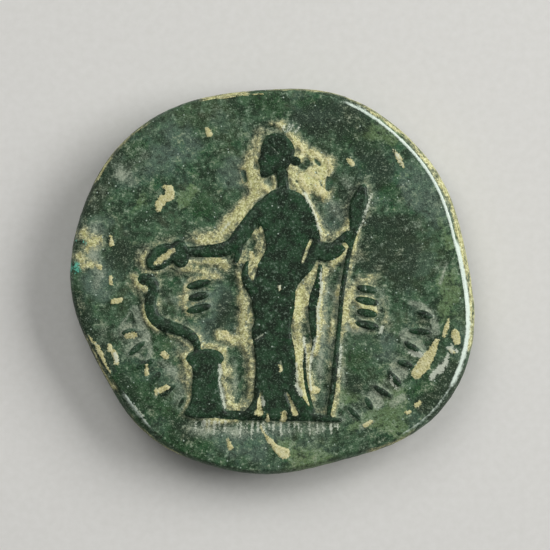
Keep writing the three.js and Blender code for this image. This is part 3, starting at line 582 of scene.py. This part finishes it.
def reverse_face():
    """The reverse's height, and what lies on it, as grids by name."""
    solid = np.maximum(skin_heights(2 * HIGH[2], -1, REVERSE_FIELD), REVERSE_FIELD) - REVERSE_FIELD
    relief = blur(solid, 0.05)
    raised = rubbed_tops(solid, 0.045)
    bare = ease(0.6, 0.2, raised)
    hollow = blur(solid, HOLLOW_REACH) - relief

    ragged = 0.08 * clouds([0.9, 0.4, 0.18], 11)
    near = heap(raised, 1 / EARTH_REACH)
    held = near * (0.8 + 0.3 * clouds([3.0, 1.3], 47))
    packed = inside_any(PACKED_EARTH) + 0.45 * held - 0.3 * ease(0, 0.35, near)
    packed = np.maximum(packed, 3.0 * (hollow - HOLLOW_FULL) - 0.3) + ragged
    packed -= 0.8 * ease(-0.1, 0.1, inside_any(BARE_SPOTS))
    crust = inside_any(CRUSTS) + 0.5 * ragged
    film = inside_any(FILM) + 0.15 * clouds([1.0, 0.4], 23)
    film = np.maximum(film, 0.8 * packed + 0.15)
    film = np.maximum(film, 0.75 * near + 0.2 * clouds([2.4, 0.9, 0.35], 29) - 0.5)
    film = np.maximum(film, np.minimum(4.0 * inside_any(VEILS) + 0.1 * clouds([0.7, 0.3], 33), 0.38))
    scratched = scratches()
    film = np.maximum(film, 8.0 * (scratched + 0.03))

    lumps = CRUMB_HEIGHT * clouds([0.5, 0.24], 41) + CLOD_HEIGHT * ease(0.4, 1.8, cloud(0.7, 45))
    lumps *= ease(-0.15, 0.25, packed)
    bank = np.minimum(heap(solid, EARTH_SLOPE), REVERSE_BANK) * ease(-0.4, 0.2, packed)
    uneven = 0.02 * clouds([5.0, 2.2], 31) + 0.007 * clouds([0.8, 0.35], 37)
    height = np.maximum(relief, blur(bank, 0.06) + lumps * bare) + uneven * (1 - 0.6 * raised)
    height += CRUST_HEIGHT * ease(-0.08, 0.1, crust)
    height -= PIT_DEPTH * ease(2.1, 2.9, cloud(0.45, 43)) * bare
    return {
        "height": REVERSE_FIELD + np.minimum(height, RELIEF + CRUST_OVER_TOPS),
        "raised": raised,
        "earth": packed,
        "crust": crust,
        "film": film,
        # lime seams and scratches, with painted highlights on walls that face the light
        "white": np.maximum(inside_any(LIME_SEAMS_AND_HIGHLIGHTS), scratched + 0.01 - 0.5 * raised) + 0.3 * ragged,
        # near black patina, and painted shade along the left rim
        "dark": haze(DARK_PATINA_AND_SHADE, 91),
        "green": haze(GREEN_PATINA, 93),
        "olive": haze(OLIVE_PATINA, 95),
        "smoke": haze(SMOKY_PATINA, 97),
        "verdigris": inside_any(VERDIGRIS),
    }


def obverse_face():
    """The obverse, which stands down from its field: the same measures, with less on it."""
    solid = OBVERSE_FIELD - np.minimum(skin_heights(-HIGH[2], 1, OBVERSE_FIELD), OBVERSE_FIELD)
    relief = blur(solid, 0.07)
    raised = rubbed_tops(solid, 0.06)
    hollow = blur(solid, HOLLOW_REACH) - relief
    near = heap(raised, 1 / EARTH_REACH)
    held = near * (0.7 + 0.4 * clouds([3.5, 1.5], 51))
    packed = np.maximum(0.5 * held - 0.35, 3.0 * (hollow - HOLLOW_FULL) - 0.2) + 0.09 * clouds([1.2, 0.5], 53)
    film = np.maximum(0.8 * packed + 0.15, 0.75 * near - 0.5) + 0.2 * clouds([2.4, 0.9], 59)
    film = np.maximum(film, 0.3 * clouds([5.0, 1.6], 63) - 0.5)
    bank = np.minimum(heap(solid, EARTH_SLOPE), OBVERSE_BANK) * ease(-0.4, 0.2, packed)
    uneven = 0.018 * clouds([5.0, 2.2], 61) + 0.006 * clouds([0.8, 0.35], 67)
    height = np.maximum(relief, blur(bank, 0.06)) + uneven * (1 - raised)
    nowhere = np.full(X.shape, -1.0)
    return {
        "height": OBVERSE_FIELD - np.minimum(height, RELIEF),
        "raised": raised,
        "earth": packed,
        "crust": 0.5 * (clouds([0.9, 0.4], 69) - 2.7),
        "film": film,
        "white": nowhere,
        "dark": ease(0.5, 1.6, clouds([4.0, 1.5], 73)),
        "green": ease(0.8, 1.8, clouds([2.5, 1.0], 75)),
        "olive": ease(0.9, 2.0, clouds([3.0, 1.2], 77)),
        "smoke": ease(0.4, 1.6, clouds([4.0, 1.6], 79)),
        "verdigris": nowhere,
    }


MEASURES = (
    "raised", "earth", "crust", "film", "white", "dark", "green", "olive", "smoke", "verdigris", "shoulder",
)


def sample(grid, x, y):
    """A grid's value at points between its own."""
    column = np.clip((x - GRID_X[0]) / CELL, 0, len(GRID_X) - 1.001)
    row = np.clip((y - GRID_Y[0]) / CELL, 0, len(GRID_Y) - 1.001)
    i, j = column.astype(int), row.astype(int)
    u, v = column - i, row - j
    low = grid[j, i] * (1 - u) + grid[j, i + 1] * u
    high = grid[j + 1, i] * (1 - u) + grid[j + 1, i + 1] * u
    return low * (1 - v) + high * v


# ---------------------------------------------------------------- the mesh


def smooth_ring(values, degrees):
    """A closed row of values softened along its length."""
    count = len(values)
    spread = degrees / 360 * count
    offsets = np.arange(count)
    offsets = np.minimum(offsets, count - offsets)
    taps = np.exp(-0.5 * (offsets / spread) ** 2)
    taps /= taps.sum()
    return np.real(np.fft.ifft(np.fft.fft(values) * np.fft.fft(taps)))


def zip_rings(first, second):
    """Triangles between two closed rings of vertex numbers that start at the same angle."""
    faces = []
    a, b = 0, 0
    while a < len(first) or b < len(second):
        here = (first[a % len(first)], second[b % len(second)])
        if b == len(second) or (a < len(first) and (a + 0.5) / len(first) < (b + 0.5) / len(second)):
            a += 1
            faces.append((here[0], here[1], first[a % len(first)]))
        else:
            b += 1
            faces.append((here[0], here[1], second[b % len(second)]))
    return [face for face in faces if len(set(face)) == 3]


class Shell:
    """Vertices, their measures and the triangles between them, ring by ring."""

    def __init__(self):
        self.points = []
        self.measures = []
        self.faces = []
        self.count = 0

    def ring(self, x, y, z, measures):
        """Adds a ring of points, with a row of values for each of MEASURES that measures has."""
        self.points.append(np.stack([x, y, z], axis=1))
        self.measures.append(np.stack([measures.get(name, np.zeros(len(x))) for name in MEASURES], axis=1))
        numbers = np.arange(self.count, self.count + len(x))
        self.count += len(x)
        return numbers

    def stitch(self, first, second):
        self.faces += zip_rings(list(first), list(second))


def window(angles, start, end, soft=5.0):
    """1 between two directions in degrees and 0 outside, softened over soft degrees."""
    away = (np.degrees(angles) - (start + end) / 2 + 180) % 360 - 180
    return ease(0, soft, (end - start) / 2 + soft / 2 - np.abs(away))


def on_edge(places, angles, band, soft):
    """The strongest of places (from, to, first band, last band, how much) in each direction at one band."""
    rows = [
        much * window(angles, start, end) * ease(0, soft, min(band - first, last - band) + soft)
        for start, end, first, last, much in places
    ]
    return np.maximum.reduce(rows)


def face_rings(shell, face, boundary, rings, worn_and_highlit):
    """Rings from the middle of a face out to its boundary, rolled over where worn, with the painted shoulder
    highlight there. Returns the last ring.
    """
    outermost = None
    for k in range(rings + 1):
        count = max(1, 6 * k)
        angles = np.arange(count) / count * 2 * math.pi
        radius = k / rings * boundary(angles)
        x, y = radius * np.cos(angles), radius * np.sin(angles)
        measures = {name: sample(grid, x, y) for name, grid in face.items() if name != "height"}
        # painted highlight: a pale strip on the outermost rings of the shoulder, where the light would glance
        # off it
        measures["shoulder"] = on_edge(SHOULDER_HIGHLIGHT, angles, k - rings, 0.8) if worn_and_highlit else np.zeros(count)
        rolled = ROLL_DEPTH * ease(ROLL_WIDTH, 0, boundary(angles) - radius) if worn_and_highlit else 0
        ring = shell.ring(x, y, sample(face["height"], x, y) - rolled, measures)
        if outermost is not None:
            shell.stitch(outermost, ring)
        outermost = ring
    return outermost


def edge_table():
    """Heights down the edge and, for each, the radius in every direction of the reverse's last ring."""
    count = 6 * REVERSE_RINGS
    angles = np.arange(count) / count * 2 * math.pi
    turns = np.linspace(0, math.pi, EDGE_BANDS + 1)
    top, bottom = REVERSE_FIELD - SHOULDER_START, OBVERSE_FIELD + SHOULDER_START
    heights = (top + bottom) / 2 + (top - bottom) / 2 * np.cos(turns)
    radii = np.array([[edge_radius(angle, height) for angle in angles] for height in heights])
    radii = np.array([smooth_ring(row, 1.6) for row in radii])
    return angles, heights, radii


def edge_measures(face, angles, band, x, y):
    """One band's measures: they run on from the face, with earth and a painted shoulder highlight of the
    edge's own.
    """
    hand = np.random.default_rng(89 + band)
    ragged = smooth_ring(hand.standard_normal(len(angles)), 1.2)
    inside = (EDGE_SOURCE * x, EDGE_SOURCE * y)
    measures = {name: sample(grid, *inside) for name, grid in face.items() if name != "height"}
    own = on_edge(EDGE_EARTH, angles, band, 1.6) + 0.16 * ragged / ragged.std()
    measures["earth"] = np.maximum(measures["earth"] - 0.3, own - EDGE_EARTH_START)
    measures["crust"] = measures["crust"] - 0.1 * band
    measures["white"] = np.full(len(angles), -1.0)
    # painted highlight on the rounded shoulder of the edge
    measures["shoulder"] = on_edge(SHOULDER_HIGHLIGHT, angles, band, 0.8)
    return measures


def coin_mesh():
    """The reverse, the edge and the obverse as one closed shell, with the measures on every point."""
    reverse, obverse = reverse_face(), obverse_face()
    angles, heights, radii = edge_table()

    def boundary(row):
        return lambda wanted: np.interp(wanted, np.append(angles, 2 * math.pi), np.append(row, row[0]))

    shell = Shell()
    previous = face_rings(shell, reverse, boundary(radii[0]), REVERSE_RINGS, True)
    hammer = np.random.default_rng(71)
    knocks = [smooth_ring(hammer.standard_normal(len(angles)), 1.4) for _ in heights]
    knocks = [row / row.std() for row in knocks]
    for band in range(1, len(heights) - 1):
        share = band / (len(heights) - 1)
        radius = radii[band] - KNOCK_DEPTH * np.abs(knocks[band]) * math.sin(math.pi * share)
        x, y = radius * np.cos(angles), radius * np.sin(angles)
        face = reverse if share < 0.5 else obverse
        z = np.full(len(x), heights[band] - ROLL_DEPTH * max(0, 1 - band / 3))
        ring = shell.ring(x, y, z, edge_measures(face, angles, band, x, y))
        shell.stitch(previous, ring)
        previous = ring

    below = Shell()
    rim_bottom = face_rings(below, obverse, boundary(radii[-1]), OBVERSE_RINGS, False)
    start = shell.count
    shell.points += below.points
    shell.measures += below.measures
    shell.count += below.count
    shell.faces += [tuple(start + corner for corner in reversed(face)) for face in below.faces]
    shell.stitch(previous, rim_bottom + start)

    points = np.concatenate(shell.points) * MM
    mesh = bpy.data.meshes.new("struck_coin")
    mesh.from_pydata(points.tolist(), [], [tuple(int(c) for c in face) for face in shell.faces])
    mesh.shade_smooth()
    measures = np.concatenate(shell.measures)
    for column, name in enumerate(MEASURES):
        layer = mesh.attributes.new(name, "FLOAT", "POINT")
        layer.data.foreach_set("value", measures[:, column].astype(np.float32))
    return mesh


# ---------------------------------------------------------------- materials


def colour(code):
    """An sRGB hex colour as linear red, green, blue and alpha."""
    channels = [int(code[i : i + 2], 16) / 255 for i in (1, 3, 5)]
    return [c / 12.92 if c <= 0.04045 else ((c + 0.055) / 1.055) ** 2.4 for c in channels] + [1.0]


def add(tree, kind, inputs=None, **settings):
    """Adds a node with its settings. inputs are numbers, colours or other nodes' outputs, by socket."""
    node = tree.nodes.new(kind)
    for name, value in settings.items():
        setattr(node, name, value)
    for socket, value in (inputs or {}).items():
        if isinstance(value, bpy.types.NodeSocket):
            tree.links.new(value, node.inputs[socket])
        else:
            node.inputs[socket].default_value = value
    return node


def new_material(name):
    material = bpy.data.materials.new(name)
    material.use_nodes = True
    material.node_tree.nodes.clear()
    return material, material.node_tree


def per_mm(size):
    """Texture scale that gives features of about that many millimetres."""
    return 1 / (size * MM)


SHARE, UNDER, OVER, MIXED = 0, 6, 7, 2  # a colour Mix node's sockets


def lay_over(tree, under, layers, sources):
    """Colours laid over one another, each where its source runs from low to high, as strong as it says."""
    for source, low, high, strength, code in layers:
        ends = {"Value": sources[source], "From Min": low, "From Max": high, "To Max": strength}
        share = add(tree, "ShaderNodeMapRange", ends, interpolation_type="SMOOTHSTEP").outputs[0]
        over = colour(code) if isinstance(code, str) else code
        blend = {SHARE: share, UNDER: under, OVER: over}
        under = add(tree, "ShaderNodeMix", blend, data_type="RGBA").outputs[MIXED]
    return under


# Sizes in millimetres, then detail and roughness of each unevenness in the patina. The grain is that of fine
# sand, a tenth of a millimetre.
PATTERNS = {
    "broad": (5.0, 3.0, 0.6),
    "patchy": (2.4, 4.0, 0.6),
    "drift": (1.5, 4.0, 0.6),
    "mottle": (0.9, 4.0, 0.6),
    "blotch": (0.45, 3.0, 0.6),
    "fine": (0.22, 2.0, 0.6),
    "grain": (0.11, 2.0, 0.6),
}

# A measure whose border the patterns break up: the measure, then each pattern and how many millimetres it
# moves that border.
BROKEN = {
    "rubbed": ("raised", [("grain", 0.25)]),
    "packed": ("earth", [("mottle", 0.6), ("blotch", 0.7), ("fine", 0.6), ("grain", 0.4)]),
    "crusted": ("crust", [("blotch", 0.3), ("fine", 0.25), ("grain", 0.15)]),
    "filmed": ("film", [("blotch", 1.0), ("fine", 0.9), ("grain", 0.6)]),
    # pale lime and painted highlights, broken up at their border
    "lime and highlights": ("white", [("blotch", 0.3), ("fine", 0.35), ("grain", 0.2)]),
    # painted shoulder highlight, broken up at its border
    "shoulder highlight": ("shoulder", [("blotch", 0.6), ("fine", 0.5)]),
    "verdigrised": ("verdigris", [("fine", 0.9), ("grain", 0.6)]),
    "deep green": ("green", [("drift", 2.4), ("blotch", 1.8), ("fine", 1.0)]),
    "brown green": ("olive", [("drift", 2.4), ("blotch", 1.8), ("fine", 1.0)]),
}

# The field: green, clouded from nearly black to grey-green, with olive and bluish drifts.
FIELD = [
    ("mottle", 0.40, 0.60, 1.0, "#3f5f42"),
    ("broad", 0.50, 0.64, 0.45, "#455434"),
    ("patchy", 0.50, 0.62, 0.45, "#4a6656"),
    ("drift", 0.55, 0.68, 0.6, "#215a34"),
    ("mottle", 0.60, 0.74, 0.5, "#4c7739"),
    ("drift", 0.42, 0.30, 0.35, "#585e47"),
    ("smoke", 0.0, 1.0, 0.36, "#6c8076"),
    ("deep green", 0.3, 1.0, 0.55, "#224a1f"),
    ("brown green", 0.3, 1.0, 0.5, "#7b9562"),
    ("blotch", 0.54, 0.70, 0.5, "#6b886a"),
    ("blotch", 0.46, 0.32, 0.6, "#142714"),
    # near black patina, and on the reverse painted shade along the left rim
    ("dark", 0.0, 1.0, 0.72, "#172817"),
    ("fine", 0.56, 0.72, 0.45, "#7b9276"),
    ("fine", 0.44, 0.30, 0.55, "#112012"),
    ("grain", 0.56, 0.74, 0.4, "#8aa184"),
    ("grain", 0.44, 0.28, 0.45, "#112012"),
]

# The worn tops: nearly black green, rubbed smooth.
TOPS = [
    ("mottle", 0.42, 0.60, 1.0, "#25432a"),
    ("drift", 0.54, 0.68, 0.5, "#1d4a28"),
    ("fine", 0.54, 0.72, 0.6, "#4d6350"),
    ("fine", 0.46, 0.32, 0.6, "#09160a"),
    ("grain", 0.56, 0.72, 0.7, "#657a66"),
]

# Earth: ochre sand, brown in its gaps and paler where it is thick.
EARTH = [
    ("packed", 0.0, 0.4, 1.0, "#cbcb8c"),
    ("blotch", 0.46, 0.32, 0.5, "#8d8b5c"),
    ("fine", 0.46, 0.34, 0.45, "#7d7648"),
    ("fine", 0.52, 0.68, 0.7, "#dcdcaa"),
    ("sand", 0.4, 0.0, 0.5, "#6f6c48"),
    ("sand", 0.5, 1.0, 0.7, "#ececbf"),
]

# Lime: cream, with gaps of brown soil.
LIME = [
    ("fine", 0.46, 0.34, 0.5, "#8f8f5c"),
    ("sand", 0.4, 0.0, 0.65, "#857f50"),
    ("sand", 0.6, 1.0, 0.5, "#eeebc6"),
    ("blotch", 0.50, 0.64, 0.6, "#dcd9ab"),
]


def patinated_bronze():
    """Struck bronze under mineral patina, after centuries in the ground.

    The patina is a stone-like crust, so the base is no bare metal: dull in the fields, rubbed to a low gloss
    on the relief and glossy on the shoulder that hands and table wear. Dry sandy earth is matt.
    """
    material, tree = new_material("patinated_bronze")
    place = add(tree, "ShaderNodeTexCoord").outputs["Object"]
    sources = {}
    for name in MEASURES:
        sources[name] = add(tree, "ShaderNodeAttribute", attribute_name=name).outputs["Fac"]
    for name, (size, detail, roughness) in PATTERNS.items():
        inputs = {"Vector": place, "Scale": per_mm(size), "Detail": detail, "Roughness": roughness}
        sources[name] = add(tree, "ShaderNodeTexNoise", inputs).outputs["Fac"]
    sand = add(tree, "ShaderNodeTexVoronoi", {"Vector": place, "Scale": per_mm(SAND_GRAIN)}).outputs["Color"]
    sources["sand"] = add(tree, "ShaderNodeSeparateColor", {"Color": sand}).outputs[0]
    for name, (measure, breaks) in BROKEN.items():
        value = sources[measure]
        for pattern, reach in breaks:
            offset = {0: sources[pattern], 1: reach, 2: -0.5 * reach}
            shifted = add(tree, "ShaderNodeMath", offset, operation="MULTIPLY_ADD").outputs[0]
            value = add(tree, "ShaderNodeMath", {0: value, 1: shifted}, operation="ADD").outputs[0]
        sources[name] = value

    field = lay_over(tree, colour("#203a22"), FIELD, sources)
    tops = lay_over(tree, colour("#0f2211"), TOPS, sources)
    soil = lay_over(tree, colour("#a3a172"), EARTH, sources)
    lime = lay_over(tree, colour("#c8c38d"), LIME, sources)
    skin = lay_over(
        tree,
        field,
        [
            ("filmed", -0.35, 0.6, 0.6, "#8f9c88"),
            ("filmed", 0.1, 0.9, 0.6, "#bcc4ac"),
            ("packed", -0.5, 0.1, 0.5, "#a8a883"),
            ("packed", -0.14, 0.1, 1.0, soil),
            ("rubbed", 0.5, 0.7, 1.0, tops),
            ("crusted", -0.04, 0.05, 1.0, lime),
            # pale lime, and painted highlights along walls that face the light
            ("lime and highlights", -0.05, 0.07, 0.75, "#d3dac6"),
            ("verdigrised", -0.05, 0.08, 0.9, "#5fb8a0"),
            # painted highlight: near white where the light would glance off the shoulder
            ("shoulder highlight", 0.05, 0.6, 1.0, "#d8e6d8"),
        ],
        sources,
    )

    # Pale specks of mineral, about a tenth of a millimetre across.
    specks = add(tree, "ShaderNodeTexVoronoi", {"Vector": place, "Scale": per_mm(SPECK_SPACING)})
    chosen = add(tree, "ShaderNodeSeparateColor", {"Color": specks.outputs["Color"]}).outputs[0]
    few = add(tree, "ShaderNodeMapRange", {"Value": chosen, "From Min": 0.72, "From Max": 0.75}).outputs[0]
    dot = {"Value": specks.outputs["Distance"], "From Min": 0.15, "From Max": 0.08}
    dot = add(tree, "ShaderNodeMapRange", dot).outputs[0]
    sources["speck"] = add(tree, "ShaderNodeMath", {0: few, 1: dot}, operation="MULTIPLY").outputs[0]
    skin = lay_over(tree, skin, [("speck", 0.0, 1.0, 0.8, "#bccdbd")], sources)

    # Gloss: dull field, low gloss on the tops, a hard light on the rubbed shoulder, none on earth.
    dull, rubbed, shoulder, dry = ([value] * 3 + [1.0] for value in (0.62, 0.45, 0.2, 0.95))
    gloss = lay_over(
        tree,
        dull,
        [
            ("rubbed", 0.5, 0.7, 1.0, rubbed),
            ("shoulder", 0.0, 0.6, 1.0, shoulder),
            ("packed", -0.3, 0.0, 1.0, dry),
            ("crusted", -0.04, 0.05, 1.0, dry),
        ],
        sources,
    )
    roughness = add(tree, "ShaderNodeSeparateColor", {"Color": gloss}).outputs[0]

    sandy = add(tree, "ShaderNodeMath", {0: sources["grain"], 1: sources["fine"]}, operation="ADD").outputs[0]
    smoother = {"Value": sources["rubbed"], "From Min": 0.5, "From Max": 0.7, "To Min": 1.0, "To Max": 0.3}
    smoother = add(tree, "ShaderNodeMapRange", smoother).outputs[0]
    tooth = add(tree, "ShaderNodeMath", {0: sandy, 1: smoother}, operation="MULTIPLY").outputs[0]
    bump = add(tree, "ShaderNodeBump", {"Height": tooth, "Strength": 0.6, "Distance": 0.05 * MM}).outputs[0]

    surface = {"Base Color": skin, "Roughness": roughness, "Normal": bump, "Specular IOR Level": 0.3}
    shader = add(tree, "ShaderNodeBsdfPrincipled", surface)
    add(tree, "ShaderNodeOutputMaterial", {"Surface": shader.outputs[0]})
    return material


def studio_paper():
    """Pale matt backdrop paper: near white with the faintest tooth."""
    material, tree = new_material("studio_paper")
    place = add(tree, "ShaderNodeTexCoord").outputs["Object"]
    grain = {"Vector": place, "Scale": per_mm(PAPER_TOOTH), "Detail": 3.0}
    tooth = add(tree, "ShaderNodeTexNoise", grain).outputs["Fac"]
    shade = lay_over(tree, colour("#dcdbd6"), [("tooth", 0.0, 1.0, 1.0, "#e4e3df")], {"tooth": tooth})
    shader = add(tree, "ShaderNodeBsdfPrincipled", {"Base Color": shade, "Roughness": 0.9})
    add(tree, "ShaderNodeOutputMaterial", {"Surface": shader.outputs[0]})
    return material


# ---------------------------------------------------------------- the coin, the floor, light and camera


def struck_coin():
    coin = bpy.data.objects.new("struck_coin", coin_mesh())
    bpy.context.scene.collection.objects.link(coin)
    coin.data.materials.append(patinated_bronze())
    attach(coin, BODY)
    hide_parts(SOLID)


def floor():
    half = 1.5  # metres, far beyond the picture
    mesh = bpy.data.meshes.new("floor")
    corners = [(-half, -half, 0), (half, -half, 0), (half, half, 0), (-half, half, 0)]
    mesh.from_pydata(corners, [], [(0, 1, 2, 3)])
    mesh.materials.append(studio_paper())
    sheet = bpy.data.objects.new("floor", mesh)
    bpy.context.scene.collection.objects.link(sheet)


def soft_light(name, direction, elevation, distance, size, watts):
    """A square soft light that faces the coin from that compass direction and elevation, in degrees."""
    data = bpy.data.lights.new(name, "AREA")
    data.shape = "RECTANGLE"
    data.size, data.size_y = size
    data.energy = watts
    light = bpy.data.objects.new(name, data)
    turn, rise = math.radians(direction), math.radians(elevation)
    away = Vector((math.cos(turn) * math.cos(rise), math.sin(turn) * math.cos(rise), math.sin(rise)))
    light.location = away * distance
    light.rotation_euler = away.to_track_quat("Z", "Y").to_euler()
    bpy.context.scene.collection.objects.link(light)


def studio():
    scene = bpy.context.scene
    scene.view_settings.view_transform = "Standard"
    world = bpy.data.worlds.new("studio")
    world.use_nodes = True
    background = world.node_tree.nodes["Background"]
    background.inputs["Color"].default_value = colour("#ffffff")
    background.inputs["Strength"].default_value = 0.18
    scene.world = world
    soft_light("key", direction=20, elevation=32, distance=0.6, size=(0.5, 0.28), watts=3.3)
    soft_light("fill", direction=115, elevation=50, distance=0.7, size=(0.5, 0.5), watts=1.75)


def camera():
    """Straight above, from far enough away that the coin shows in nearly parallel view."""
    across, lens, sensor = 44.0, 400.0, 36.0
    middle = Vector((0.2, 0.52, 3.2)) * MM
    data = bpy.data.cameras.new("camera")
    data.lens, data.sensor_width = lens, sensor
    eye = bpy.data.objects.new("camera", data)
    eye.location = middle + Vector((0, 0, across * MM * lens / sensor))
    bpy.context.scene.collection.objects.link(eye)
    bpy.context.scene.camera = eye


camera()
studio()
floor()
struck_coin()
